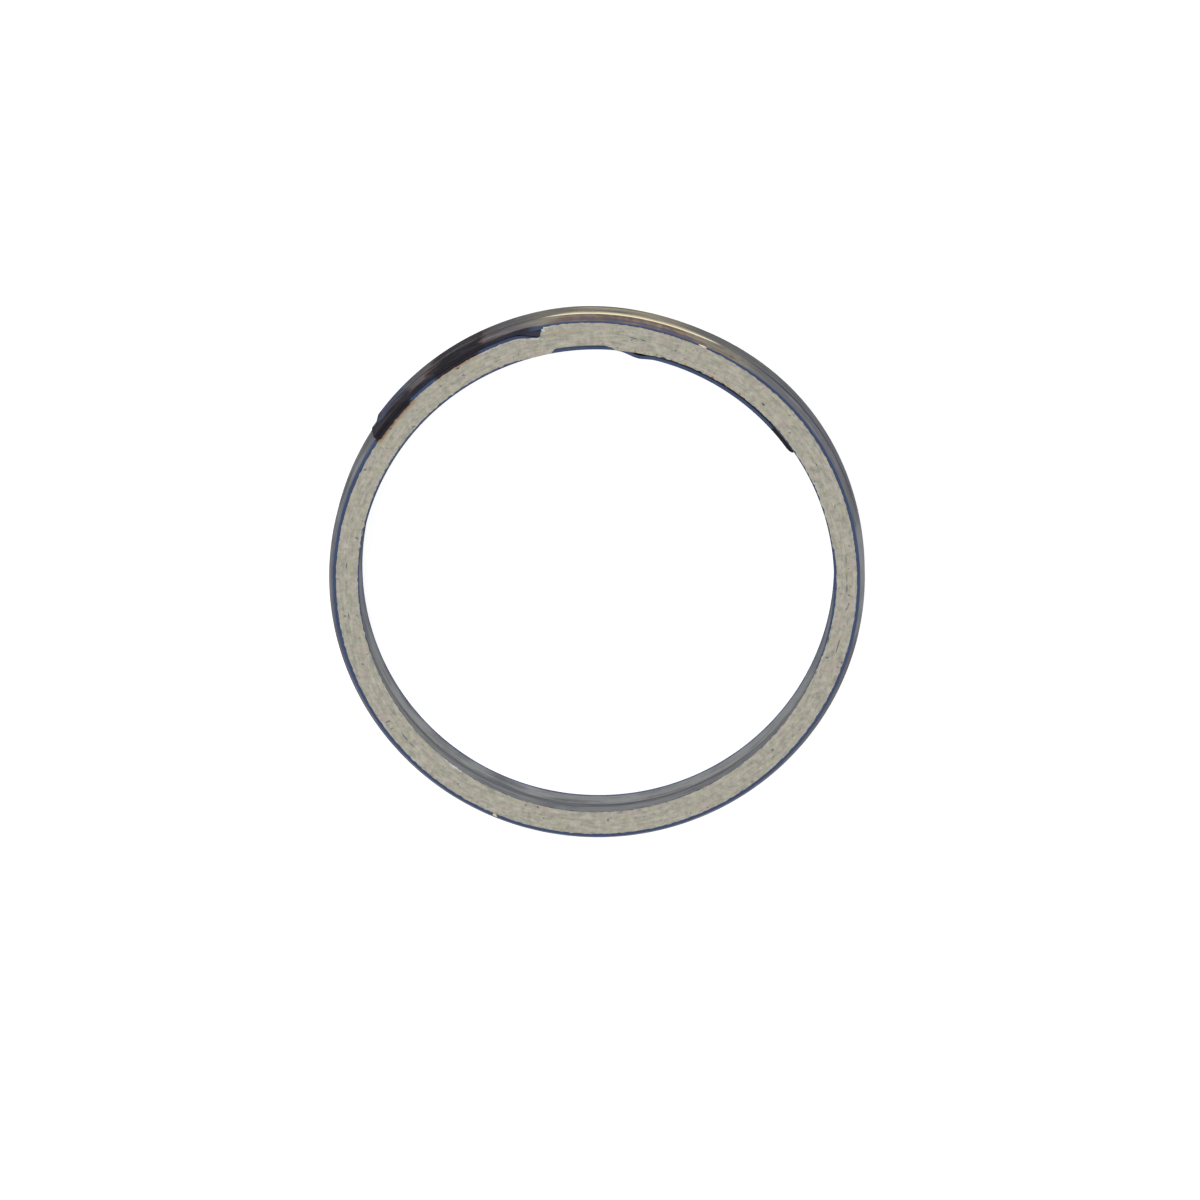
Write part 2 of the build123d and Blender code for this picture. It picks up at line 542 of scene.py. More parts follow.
class Sizes:
    """Winding and section sizes, with what follows from them."""

    def __init__(self, scene):
        self.winding = scene.gasket_winding
        self.steel = scene.gasket_steel
        self.filler = scene.gasket_filler
        winding, steel = self.winding, self.steel
        self.middle = winding.ring_height / 2
        self.half_width = self.middle - steel.edge_recess
        self.flank_slope = steel.hump_rise / steel.hump_inset
        fall = steel.hump_rise - steel.groove_rise
        self.groove_slope = fall / (self.half_width - steel.hump_inset)
        self.flank_depth = steel.thickness / cos(atan(self.flank_slope))
        self.groove_depth = steel.thickness / cos(atan(self.groove_slope))
        self.lap_step = self.flank_depth + winding.lap_clearance
        self.pitch = self.flank_depth + self.filler.thickness

    def fold_line(self, depth):
        """Points of the W from edge to edge, measured up from the strip's middle."""
        steel = self.steel
        shrink = self.flank_depth - self.groove_depth
        lean = depth * shrink / (self.flank_slope + self.groove_slope)
        edge = depth * self.flank_depth
        hump = steel.hump_rise + depth * self.groove_depth + self.groove_slope * lean
        groove = steel.groove_rise + depth * self.groove_depth
        crest = self.half_width - steel.hump_inset + lean
        return [
            (edge, -self.half_width),
            (hump, -crest),
            (groove, 0.0),
            (hump, crest),
            (edge, self.half_width),
        ]

    def rule_values(self):
        values = {
            "Bore Radius": self.winding.bore_diameter / 2,
            "Lap Step": self.lap_step,
            "Pitch": self.pitch,
            "Middle Height": self.middle,
        }
        for name in RULE_PLACES:
            values[socket_label(name)] = getattr(self.winding, name)
        return values


def between(first, second, shares):
    """Points part of the way from one point to another."""
    return [
        tuple(start + (end - start) * share for start, end in zip(first, second))
        for share in shares
    ]


def wind_section(name, sizes, section, material, first, last, segments):
    """Wind a section by the winding rule and close both ends."""
    rule = bpy.data.node_groups.get("Winding Rule") or build_winding_rule()
    tree = bpy.data.node_groups.get("Strip Winding") or build_winding_tree(rule)
    carrier = add_mesh(name + "_carrier", [])
    modifier = carrier.modifiers.new("Winding", "NODES")
    modifier.node_group = tree
    values = {
        "Section": section,
        "Material": material,
        "First Angle": first,
        "Last Angle": last,
        "Segments": segments,
    }
    values.update(sizes.rule_values())
    for item in tree.interface.items_tree:
        if item.item_type == "SOCKET" and item.name in values:
            modifier[item.identifier] = values[item.name]
    bpy.context.view_layer.update()
    graph = bpy.context.evaluated_depsgraph_get()
    mesh = bpy.data.meshes.new_from_object(carrier.evaluated_get(graph))
    mesh.name = name
    for used in (carrier, section):
        bpy.data.objects.remove(used)

    shape = bmesh.new()
    shape.from_mesh(mesh)
    bmesh.ops.remove_doubles(shape, verts=shape.verts, dist=1e-8)
    open_edges = [edge for edge in shape.edges if edge.is_boundary]
    ends = bmesh.ops.holes_fill(shape, edges=open_edges, sides=0)["faces"]
    bmesh.ops.triangulate(shape, faces=ends, ngon_method="BEAUTY")
    bmesh.ops.recalc_face_normals(shape, faces=shape.faces)
    shape.to_mesh(mesh)
    shape.free()
    return link_object(name, mesh)


def moved_out(places, distance):
    """Places moved away from the ring's axis by the distances given."""
    radius = np.hypot(places[:, 0], places[:, 1])
    grown = places.copy()
    grown[:, :2] *= ((radius + distance) / radius)[:, None]
    return grown


def bare_material(name):
    material = bpy.data.materials.new(name)
    material.use_nodes = True
    material.node_tree.nodes.clear()
    sheet = NodeSheet(material.node_tree)
    output = sheet.add("ShaderNodeOutputMaterial")
    return material, sheet, output


def colour_steps(sheet, value, stops):
    """Colour that follows a value through a list of (position, colour)."""
    node = sheet.add("ShaderNodeValToRGB", {0: value})
    elements = node.color_ramp.elements
    elements[0].color = (*stops[0][1], 1.0)
    elements[1].color = (*stops[-1][1], 1.0)
    for position, shade in stops[1:-1]:
        elements.new(position).color = (*shade, 1.0)
    return node.outputs[0]


def build_steel_material(steel):
    """Heat coloured strip: grey, olive, brown and purple, navy edges, soot, rubs, and
    painted light and shade: highlights and glints, a shade line along the outer wall and
    shade in the wedge.
    """
    material, sheet, output = bare_material("Heat coloured steel")
    winding_map = sheet.output("ShaderNodeUVMap", uv_map="Winding")
    body = sheet.add("ShaderNodeTexCoord").outputs["Object"]
    rolled = sheet.grain(winding_map, 1.0, 4.0, 0.6, (0.16, 4.0, 1.0))
    smears = sheet.grain(winding_map, 1.0, 3.0, 0.6, (0.7, 2.6, 1.0))
    ribbons = sheet.grain(winding_map, 1.0, 3.0, 0.65, (0.5, 4.5, 1.0))
    patches = sheet.grain(body, 420.0, 3.0, 0.55)
    fine = sheet.grain(body, 3800.0, 2.0, 0.5)

    # Heat colours wander in patches and along the rolling marks, with purple ribbons
    drift = sheet.about_nought(patches, 0.3)
    streak = sheet.about_nought(rolled, 0.8)
    smear = sheet.about_nought(smears, 0.9)
    waver = sheet.math("ADD", drift, streak)
    heat = sheet.math("ADD", sheet.attribute("temper"), waver)
    tint = colour_steps(
        sheet,
        heat,
        [
            (0.0, steel.bright),
            (0.2, steel.bare),
            (0.4, steel.olive),
            (0.56, steel.brown),
            (0.72, steel.purple),
            (1.0, steel.navy),
        ],
    )
    tint = sheet.cover(tint, steel.purple, ribbons, 0.54, 0.74, 0.4)

    # Red brown where the soot and the wedge's painted shade thin out in streaks
    torn = sheet.math("ADD", sheet.plus(smear, streak, 4.0), 1.0)
    ragged = sheet.math("MULTIPLY", sheet.attribute("soot"), torn)
    tint = sheet.cover(tint, steel.singe_and_shade, ragged, 0.05, 0.3, 0.85)

    # Navy edges with teal patches and dark ribbons
    blue = sheet.cover(steel.navy, steel.teal, smears, 0.48, 0.66)
    blue = sheet.cover(blue, steel.burn_and_shade, ribbons, 0.54, 0.7, 0.7)
    edge = sheet.plus(sheet.attribute("edge"), smear, 0.5)
    tint = sheet.cover(tint, blue, edge, 0.2, 0.75)

    # Painted shade: the dark line that runs along the outer wall
    across = sheet.add("ShaderNodeSeparateXYZ", {0: winding_map}).outputs[1]
    from_line = sheet.math("SUBTRACT", across, OUTER_FACE + steel.crease / MM)
    line = sheet.ramp(sheet.math("ABSOLUTE", from_line), 0.15, 0.55, 0.85, 0.0)
    line = sheet.math("MULTIPLY", line, sheet.attribute("crease"))
    tint = sheet.blend(line, tint, steel.scald_and_shade)

    # Soot and the wedge's painted shade, with blue and red brown streaks
    soot = sheet.ramp(ragged, 0.25, 0.6)
    char = sheet.cover(steel.burn_and_shade, steel.scald_and_shade, ribbons, 0.5, 0.68)
    char = sheet.cover(char, steel.singe_and_shade, rolled, 0.52, 0.64, 0.5)
    tint = sheet.blend(soot, tint, char)

    # Rubs with painted highlights: the gold crest line, the sheen between the humps and
    # white glints on the rim
    worn_and_lit = sheet.math("ADD", sheet.attribute("rub"), streak)
    rub = sheet.ramp(worn_and_lit, 0.35, 0.85)
    tint = sheet.blend(rub, tint, steel.gilt_highlight)
    tint = sheet.cover(tint, steel.glint, worn_and_lit, 1.3, 1.6)

    # Soot and painted shade are dull and no metal; rubs and painted highlights are smooth
    roughness = sheet.ramp(patches, 0.3, 0.7, 0.34, 0.5)
    roughness = sheet.plus(roughness, soot, 0.25)
    roughness = sheet.plus(roughness, rub, -0.16)
    metal = sheet.plus(1.0, soot, -0.85)
    sheen = sheet.plus(0.5, soot, -0.4)
    relief = sheet.plus(rolled, fine, 0.6)
    sheet.finish(
        output,
        {"Strength": 0.35, "Distance": 0.02 * MM, "Height": relief},
        {
            "Base Color": tint,
            "Metallic": metal,
            "Roughness": roughness,
            "Specular IOR Level": sheen,
            "Specular Tint": steel.edge_tint,
        },
    )
    return material


def build_filler_material(filler):
    """Dry fibrous mineral clay with faint stains, dark specks and painted shade on its sunk
    outer end.
    """
    material, sheet, output = bare_material("Mineral filler")
    winding_map = sheet.output("ShaderNodeUVMap", uv_map="Winding")
    body = sheet.add("ShaderNodeTexCoord").outputs["Object"]
    clouds = sheet.grain(winding_map, 1.0, 3.0, 0.6, (0.8, 2.2, 1.0))
    fibres = sheet.grain(winding_map, 1.0, 3.0, 0.6, (0.7, 4.5, 1.0))
    bloom = sheet.grain(body, 900.0, 3.0, 0.6)
    mottle = sheet.grain(body, 1900.0, 4.0, 0.65)
    grit = sheet.grain(body, 9000.0, 2.0, 0.5)
    far_specks = sheet.grain(body, 2600.0, 1.0, 0.5)

    # Mottled clay with faint green and pink patches
    shade = sheet.math("MULTIPLY", mottle, 0.45)
    shade = sheet.plus(shade, fibres, 0.4)
    shade = sheet.plus(shade, grit, 0.15)
    tint = sheet.cover(filler.dull, filler.pale, shade, 0.34, 0.66)
    tint = sheet.cover(tint, filler.lime, clouds, 0.5, 0.68, 0.5)
    tint = sheet.cover(tint, filler.blush, bloom, 0.52, 0.7, 0.55)

    # Marks with ragged outlines, and scattered specks; the scorch mark also paints shade
    # over the sunk outer end
    ragged = sheet.about_nought(mottle, 1.1)
    for mark, low, high, paint in (
        ("chalk", 0.3, 0.8, filler.chalk),
        ("stain", 0.15, 0.9, filler.rust),
        ("scorch", 0.25, 0.75, filler.grime_and_shade),
    ):
        strength = sheet.math("ADD", sheet.attribute(mark), ragged)
        tint = sheet.cover(tint, paint, strength, low, high)
    tint = sheet.cover(tint, filler.grime_and_shade, far_specks, 0.7, 0.76, 0.55)

    relief = sheet.plus(mottle, fibres, 0.7)
    relief = sheet.plus(relief, grit, 0.4)
    sheet.finish(
        output,
        {"Strength": 0.5, "Distance": 0.06 * MM, "Height": relief},
        {"Base Color": tint, "Roughness": 0.9, "Specular IOR Level": 0.2},
    )
    return material


class SteelSurface:
    """Where each point of the steel lies, along the winding and across the strip."""

    def __init__(self, mesh, sizes):
        winding = sizes.winding
        self.level = read_places(mesh)[:, 2]
        self.wound = read_numbers(mesh, "wound")
        self.depth = read_numbers(mesh, "depth")
        self.around = circle_angle(self.wound)
        self.height = (self.level - sizes.middle) / sizes.half_width
        self.from_edge = (1 - np.abs(self.height)) * sizes.half_width / MM
        self.crest = 1 - sizes.steel.hump_inset / sizes.half_width
        self.flank = rise(self.height, self.crest - 0.1, self.crest + 0.1)
        self.tail = self.wound < winding.step_start
        self.first_turn = ~self.tail & (self.wound < winding.step_start + tau)
        self.last_turn = self.wound > winding.outer_end + 2 * tau
        self.outside = self.last_turn & (self.depth > 0.5)
        self.lapped = self.wound > winding.climb_start + 3 * tau
        from_wedge = np.abs(self.wound - winding.climb_end - 2 * tau)
        self.wedge = (self.depth > 0.5) * (from_wedge < radians(7))


def heat_colours(steel):
    """Grey wall, mottled brown on the flank by the step."""
    around, height, flank = steel.around, steel.height, steel.flank
    blotches = wander(steel.wound * 90.0, height * 3.0, 31.0)
    browned = 0.18 * flank + 0.14 * rise(height, 0.7, 0.95) + 0.2 * flank * blotches
    heat = 0.2 - 0.17 * (steel.depth < 0.5)
    heat += steel.outside * 0.17 * arc(around, 86, 15, 12)
    heat -= steel.outside * 0.1 * arc(around, 168, 16, 8)
    heat -= steel.outside * 0.17 * arc(around, 0, 8, 10)
    return heat + steel.outside * arc(around, 78, 16, 10) * browned


def navy_edges(steel, winding):
    """Blue at the edges, by the outer end, in the wedge and on the inner wall."""
    around = steel.around
    # The edges' blue reaches further down the lower half of the ring
    reach = 0.02 + 0.3 * steel.depth * arc(around, 248, 48, 30)
    fade = 0.26 - 0.16 * arc(around, 82, 48, 18)
    edge = 1 - rise(steel.from_edge, reach, reach + fade)
    buried = steel.wound > winding.step_end + tau
    buried = buried & (steel.wound < winding.step_start + 2 * tau)
    under = 1 - rise(steel.height, 0.72, 0.9)
    inner_wall = (steel.wound < winding.step_start + tau) & (steel.depth < 0.5)
    turning = strongest([arc(around, 346, 12, 12), arc(around, 182, 12, 12)])
    return strongest(
        [
            edge * (1 - 0.8 * buried),
            0.8 * steel.outside * under * arc(around, 140.4, 4.4, 4.0),
            0.85 * steel.wedge,
            inner_wall * np.maximum(0.32 * turning, 0.26 * (steel.height > -steel.crest)),
        ]
    )


def painted_shade_line(steel):
    """Strength of the painted shade line that runs along the outer wall."""
    around = steel.around
    return steel.outside * (arc(around, 35, 13, 12) + 0.6 * arc(around, 118, 12, 8))


def weld_soot_and_shade(steel, winding):
    """Soot at the welds, beside the tail and along the rims, and painted shade in the wedge.
    """
    around, wound, height = steel.around, steel.wound, steel.height
    torn = around + 2.6 * wander(wound * 14.0, height * 3.2, 7.0)
    torn += 1.2 * wander(wound * 30.0, height * 11.0, 19.0)
    second = rise(height, 0.62, 0.84) + arc(torn, 145.9, 1.2, 1.0)
    on_lap = [
        0.9 * arc(torn, 121.4, 4.6, 3.6),
        0.95 * arc(torn, 141.2, 4.6, 4.4) * second,
        0.43 * arc(torn, 140, 5, 3),
        0.58 * (steel.from_edge < 0.3) * arc(around, 126, 20, 5),
    ]
    rim = (wound > winding.step_end + 2 * tau) & (steel.from_edge < 0.1) & (height > 0)
    on_rim = arc(around, 140.8, 4.6, 2.6) + 0.7 * arc(around, 122, 4.5, 3)
    by_tail = 0.6 * arc(around, 61, 18, 4)
    inside = by_tail + 0.3 * arc(around, 134, 30, 6)
    by_tail = np.maximum(inside * (steel.depth < 0.5), by_tail * (wound > tau))
    return strongest(
        [
            steel.lapped * strongest(on_lap),
            0.16 * steel.outside * arc(around, 126, 14, 16),
            # Painted shade in the wedge
            0.4 * steel.wedge,
            0.95 * rim * on_rim,
            0.95 * steel.tail * arc(around, 37.6, 3.8, 1.6),
            by_tail * steel.first_turn * (steel.from_edge < 0.1),
        ]
    )


def rubs_and_highlights(steel):
    """Rubbed crest painted as a highlight line, gold by the step; a painted sheen between
    the humps, a painted highlight line by the rim and painted glints on the rim.
    """
    around, outside = steel.around, steel.outside
    worn_and_lit = bump(steel.height, steel.crest, 0.03, 0.06) * outside
    lit = bump(steel.from_edge, 0.22, 0.02, 0.08) * arc(around, 116, 7, 3)
    painted_glints = arc(around, 66.4, 0.4, 0.3) + arc(around, 247.1, 0.25, 0.3)
    return strongest(
        [
            # Rubbed upper crest, painted as a highlight line, gold by the step
            worn_and_lit * (0.3 + 0.9 * arc(around, 82, 12, 10)),
            # Painted sheen between the humps by the step
            0.44 * outside * (1 - steel.flank) * arc(around, 82, 8, 20),
            # Painted highlight line by the rim
            0.62 * lit * outside,
            # Painted white glints on the rim
            2.0 * painted_glints * (steel.from_edge < 0.05) * steel.depth * steel.last_turn,
        ]
    )


class GASKET_OT_wind_steel(bpy.types.Operator):
    """Wind the W section steel strip, with its ends, folds and heat colours"""

    bl_idname = "gasket.wind_steel"
    bl_label = "Wind Steel Strip"

    def execute(self, context):
        sizes = Sizes(context.scene)
        winding = sizes.winding
        last = winding.outer_end + 3 * tau
        strip = wind_section(
            "steel_strip",
            sizes,
            self.draw_section(sizes),
            build_steel_material(sizes.steel),
            winding.inner_end,
            last,
            STEEL_SEGMENTS,
        )
        self.shape_ends(strip.data, sizes, last)
        self.paint_heat(strip.data, sizes)
        smooth_shade(strip, radians(35))
        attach(strip, "root")
        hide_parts("winding_strip")
        return {"FINISHED"}

    def draw_section(self, sizes):
        """W section: its face towards the bore, then its outer face back again."""
        steel = sizes.steel
        tight, wide = steel.bend_radius, steel.bend_radius + steel.thickness
        # Shares of each flank that get a point, closest near the strip's edge
        shares = (0.06, 0.14, 0.26, 0.42, 0.62)
        rows = []
        for depth, at_hump, at_groove in ((0.0, tight, wide), (1.0, wide, tight)):
            line = sizes.fold_line(depth)
            near_edge = between(line[0], line[1], shares)
            far_edge = between(line[4], line[3], shares)[::-1]
            face = [line[0], *near_edge, *line[1:4], *far_edge, line[4]]
            straight = [0.0] * (len(shares) + 1)
            bends = straight + [at_hump, at_groove, at_hump] + straight
            depths = [depth] * len(face)
            rows += list(zip(face, bends, depths))[:: -1 if depth else 1]
        points, bends, depths = zip(*rows)
        numbers = {"bend": bends, "depth": depths, "side": [0.0] * len(points)}
        return add_section("steel_section", points, numbers)

    def shape_ends(self, mesh, sizes, last):
        """Round the inner end's corners and slant the outer cut."""
        winding, steel = sizes.winding, sizes.steel
        places = read_places(mesh)
        wound = read_numbers(mesh, "wound")
        height = places[:, 2] - sizes.middle
        radius = np.hypot(places[:, 0], places[:, 1])
        reach = radians(5)
        near_start = np.clip(1 - (wound - winding.inner_end) / reach, 0, 1)
        past = np.abs(height) - (sizes.half_width - steel.corner_radius)
        past = np.clip(past, 0, steel.corner_radius)
        round_off = steel.corner_radius - np.sqrt(steel.corner_radius**2 - past**2)
        change = near_start * round_off / radius
        near_end = np.clip(1 - (last - wound) / reach, 0, 1)
        lean = (sizes.half_width - height) / (2 * sizes.half_width)
        change -= near_end * lean * steel.outer_slant / radius
        heading = np.arctan2(places[:, 1], places[:, 0]) + change
        places[:, 0] = radius * np.cos(heading)
        places[:, 1] = radius * np.sin(heading)
        store_places(mesh, places)

    def paint_heat(self, mesh, sizes):
        """Numbers that the material turns into heat colours, soot, worn metal, and painted
        highlights, glints and shade.
        """
        surface = SteelSurface(mesh, sizes)
        store_numbers(mesh, "temper", heat_colours(surface))
        store_numbers(mesh, "edge", navy_edges(surface, sizes.winding))
        store_numbers(mesh, "crease", painted_shade_line(surface))
        store_numbers(mesh, "soot", weld_soot_and_shade(surface, sizes.winding))
        store_numbers(mesh, "rub", rubs_and_highlights(surface))
        across = surface.level / MM + OUTER_FACE * surface.depth
        store_map(mesh, surface.wound * MAP_RADIUS, across)


# How far past the climb's start the filler is crushed, and how much that line slants
CRUSH_SETBACK = radians(0.8)
CRUSH_SLANT = radians(1.2)
# Share of the first turn's edge that the filler covers, from angle to angle
INNER_COVER = [
    (0.0, 0.15), (8.2, 0.2), (9.6, 0.6), (16.2, 0.6), (17.0, 1.0), (17.8, 0.55),
    (19.8, 0.6), (20.6, 1.0), (21.4, 0.55), (33.4, 0.68), (35.0, 0.6), (74.0, 0.66),
    (77.0, 0.95), (83.0, 0.95), (85.2, 0.9), (86.4, 0.3), (88.0, -0.4), (99.8, -0.4),
    (100.8, 1.0), (107.0, 0.85), (110.0, 0.36), (160.0, 0.36), (205.0, 0.9),
    (335.0, 0.9), (352.0, 0.3),
]
# Share of the outermost edge that it covers
OUTER_COVER = [
    (0.0, 0.15), (50.0, 0.2), (65.0, 0.55), (102.0, 0.5), (103.0, 1.0), (106.5, 0.1),
    (120.0, 0.0), (150.0, 0.15),
]
# Where the two layers don't meet over the middle turn: angle and half length
SEAM_GAPS = [
    (5.6, 0.5), (1.4, 0.4), (359.0, 0.5), (345.2, 1.2), (222.4, 0.4), (220.1, 0.8),
    (188.4, 0.4), (176.3, 0.2), (81.8, 0.4), (79.4, 0.4), (29.1, 0.3),
]
# Dark specks: angle, share of the way out, half length in degrees, strength
SPECKS = [
    (48.0, 0.32, 0.3, 0.62), (142.5, 0.85, 0.3, 0.6), (135.4, 0.5, 0.2, 0.42),
    (126.7, 0.75, 0.3, 0.34), (122.2, 0.88, 0.3, 0.55), (156.8, 0.88, 0.4, 0.42),
    (172.2, 0.03, 0.4, 0.46), (167.8, 0.03, 0.5, 0.5), (183.5, 0.7, 0.2, 0.4),
    (13.4, 0.55, 0.2, 0.36), (337.4, 0.03, 0.5, 0.4), (345.8, 0.03, 0.7, 0.46),
]


class GASKET_OT_wind_filler(bpy.types.Operator):
    """Wind the filler strip, with rough faces that cover the middle turn's edges"""

    bl_idname = "gasket.wind_filler"
    bl_label = "Wind Filler Strip"

    def execute(self, context):
        sizes = Sizes(context.scene)
        # The ends stay a little inside the wedges that the steel leaves them
        first = sizes.winding.climb_start + radians(0.3)
        last = sizes.winding.climb_end + 2 * tau - radians(0.6)
        strip = wind_section(
            "filler_strip_clay",
            sizes,
            self.draw_section(sizes),
            build_filler_material(sizes.filler),
            first,
            last,
            FILLER_SEGMENTS,
        )
        self.roughen(strip.data, sizes)
        self.paint_stains(strip.data, sizes)
        smooth_shade(strip, radians(40))
        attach(strip, "root")
        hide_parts("filler_strip")
        return {"FINISHED"}

    def draw_section(self, sizes):
        """Section between two turns of steel.

        Besides its place, each point says which side it keeps to, which face it lies
        on, and how far it goes with the lip that covers the steel inside or outside.
        """
        labels = ("side", "face", "lip_in", "lip_out")
        inner = sizes.fold_line(1.0)
        outer = [(x + sizes.pitch, y) for x, y in sizes.fold_line(0.0)]
        near, far = inner[4][0], outer[4][0]
        columns = 11
        skin = sizes.steel.edge_recess * 0.4

        def face_rows(sign):
            """One face from the inner lip's root to the outer one's."""
            root = sign * (sizes.middle - 2 * skin)
            rows = [(near, root, 0.0, 0.0, 1.0, 0.0)]
            for column in range(columns):
                share = column / (columns - 1)
                place = near + (far - near) * share, sign * sizes.middle
                rows.append((*place, share, sign, (1 - share) ** 2, share**2))
            return rows + [(far, root, 1.0, 0.0, 0.0, 1.0)]

        rows = [(x, y, 0.0, 0.0, 0.0, 0.0) for x, y in inner]
        rows += face_rows(1.0)
        rows += [(x, y, 1.0, 0.0, 0.0, 0.0) for x, y in outer[::-1]]
        rows += face_rows(-1.0)[::-1]
        points = [row[:2] for row in rows]
        numbers = {label: [row[2 + i] for row in rows] for i, label in enumerate(labels)}
        numbers["bend"] = [0.0] * len(points)
        return add_section("filler_section", points, numbers)

    def roughen(self, mesh, sizes):
        """Spread the faces over the steel edges, sink the outer end and pit them."""
        winding = sizes.winding
        places = read_places(mesh)
        wound = read_numbers(mesh, "wound")
        around = circle_angle(wound)
        outer_layer = wound >= winding.climb_start + tau + CRUSH_SETBACK
        ragged = wander(wound * 55.0, 0.0, 3.0) + 0.6 * wander(wound * 170.0, 0.0, 7.0)

        # Shares of the steel edges that the lips cover
        first = round_ring(around, INNER_COVER)
        open_share = np.clip(first, 0, 1)
        first += ragged * (0.1 + 1.0 * open_share * (1 - open_share))
        last = round_ring(around, OUTER_COVER) + 0.25 * ragged
        over_first = sizes.flank_depth * np.clip(first, -0.5, 1)
        stepped = rise(wound, winding.step_start + tau, winding.step_end + tau)
        over_first += sizes.lap_step * stepped
        over_last = sizes.flank_depth * np.clip(last, 0, 1)
        gap = strongest(arc(around, middle, half, 0.5) for middle, half in SEAM_GAPS)
        half_cover = sizes.flank_depth * (0.5 - 0.14 * gap)
        inward = np.where(outer_layer, half_cover, over_first)
        outward = np.where(outer_layer, over_last, half_cover)
        sunk = self.sunk_share(mesh, sizes)
        shift = read_numbers(mesh, "lip_out") * outward
        shift -= read_numbers(mesh, "lip_in") * inward
        places = moved_out(places, shift * (1 - sunk))

        # The crushed outer end lies lower and keeps to the lean of the flanks
        height = places[:, 2] - sizes.middle
        limit = sizes.middle - sunk * sizes.filler.sink_depth
        lowered = np.clip(height, -limit, limit)
        cut = np.abs(height - lowered)
        places = moved_out(places, cut * sizes.flank_slope)
        places[:, 2] = sizes.middle + lowered

        x, y = places[:, 0] / MM, places[:, 1] / MM
        pits = 0.5 * wander(x * 2.2, y * 2.2, 11.0) + 0.3 * wander(x * 5.5, y * 5.5, 19.0)
        depth = sizes.filler.roughness_depth * np.clip(0.45 - pits, 0.0, 1.0)
        places[:, 2] -= read_numbers(mesh, "face") * depth
        store_places(mesh, places)

    def sunk_share(self, mesh, sizes):
        """0 along the strip, 1 beyond the slanting line where its outer end is crushed."""
        wound = read_numbers(mesh, "wound")
        side = read_numbers(mesh, "side")
        line = sizes.winding.climb_start + 2 * tau + CRUSH_SETBACK - side * CRUSH_SLANT
        return rise(wound, line - radians(0.1), line + radians(0.5))

    def paint_stains(self, mesh, sizes):
        """Numbers that the material turns into chalk, stains, scorched spots and the painted
        shade over the sunk outer end.
        """
        places = read_places(mesh)
        wound = read_numbers(mesh, "wound")
        around = circle_angle(wound)
        outer_layer = wound >= sizes.winding.climb_start + tau
        out = (outer_layer + read_numbers(mesh, "side")) / 2
        sunk = self.sunk_share(mesh, sizes)
        near_end = np.abs(np.degrees(wound - sizes.winding.climb_start - 2 * tau))
        chalk = [
            0.8 * bump(near_end, 0.2, 0.3, 0.7) * rise(out, 0.6, 0.9),
            0.6 * arc(around, 110, 8, 6) * rise(out, 0.9, 0.98),
            0.6 * arc(around, 232.5, 3, 1) * (1 - rise(out, 0.03, 0.1)),
        ]
        near_weld = arc(around, 140.6, 5, 3) + 0.6 * arc(around, 122, 4, 5)
        freckles = 0.5 + wander(wound * 110.0, out * 14.0, 29.0)
        spread = 0.55 * rise(out, 0.62, 0.92) + 0.6 * freckles * rise(out, 0.8, 0.95)
        chips = wander(wound * 70.0, 0.0, 23.0)
        inner_rim = 1 - rise(out, 0.02, 0.14)
        stain = [
            near_weld * spread,
            0.4 * arc(around, 122.3, 2, 1.5) * rise(out, 0.8, 0.95),
            0.35 * arc(around, 98, 3.5, 2) * bump(out, 0.6, 0.06, 0.12),
            inner_rim * arc(around, 68, 14, 4) * (0.3 + 1.4 * chips),
        ]
        scorch = [
            strength * arc(around, middle, half, 0.5) * bump(out, share, 0.02, 0.07)
            for middle, share, half, strength in SPECKS
        ]
        scorch += [
            inner_rim * np.clip(chips - 0.25, 0, 1),
            arc(around, 140.7, 4.6, 1.5) * rise(out, 0.88, 1.0),
            0.35 * arc(around, 101.5, 0.8, 0.8) * bump(out, 0.3, 0.1, 0.1),
            # Painted shade over the sunk outer end, down in the wedge
            1.2 * sunk,
        ]
        store_numbers(mesh, "chalk", strongest(chalk) * (1 - sunk))
        store_numbers(mesh, "stain", np.clip(strongest(stain), 0, 1) * (1 - sunk))
        store_numbers(mesh, "scorch", strongest(scorch))
        radius = np.hypot(places[:, 0], places[:, 1]) / MM
        store_map(mesh, wound * MAP_RADIUS, radius + 0.2 * places[:, 2] / MM)


# Soft lights: name, place, size and power
LIGHTS = [
    ("Key light", (-0.22, 0.3, 0.55), 0.35, 1.5),
    ("Fill light", (0.4, -0.15, 0.4), 0.4, 0.6),
]


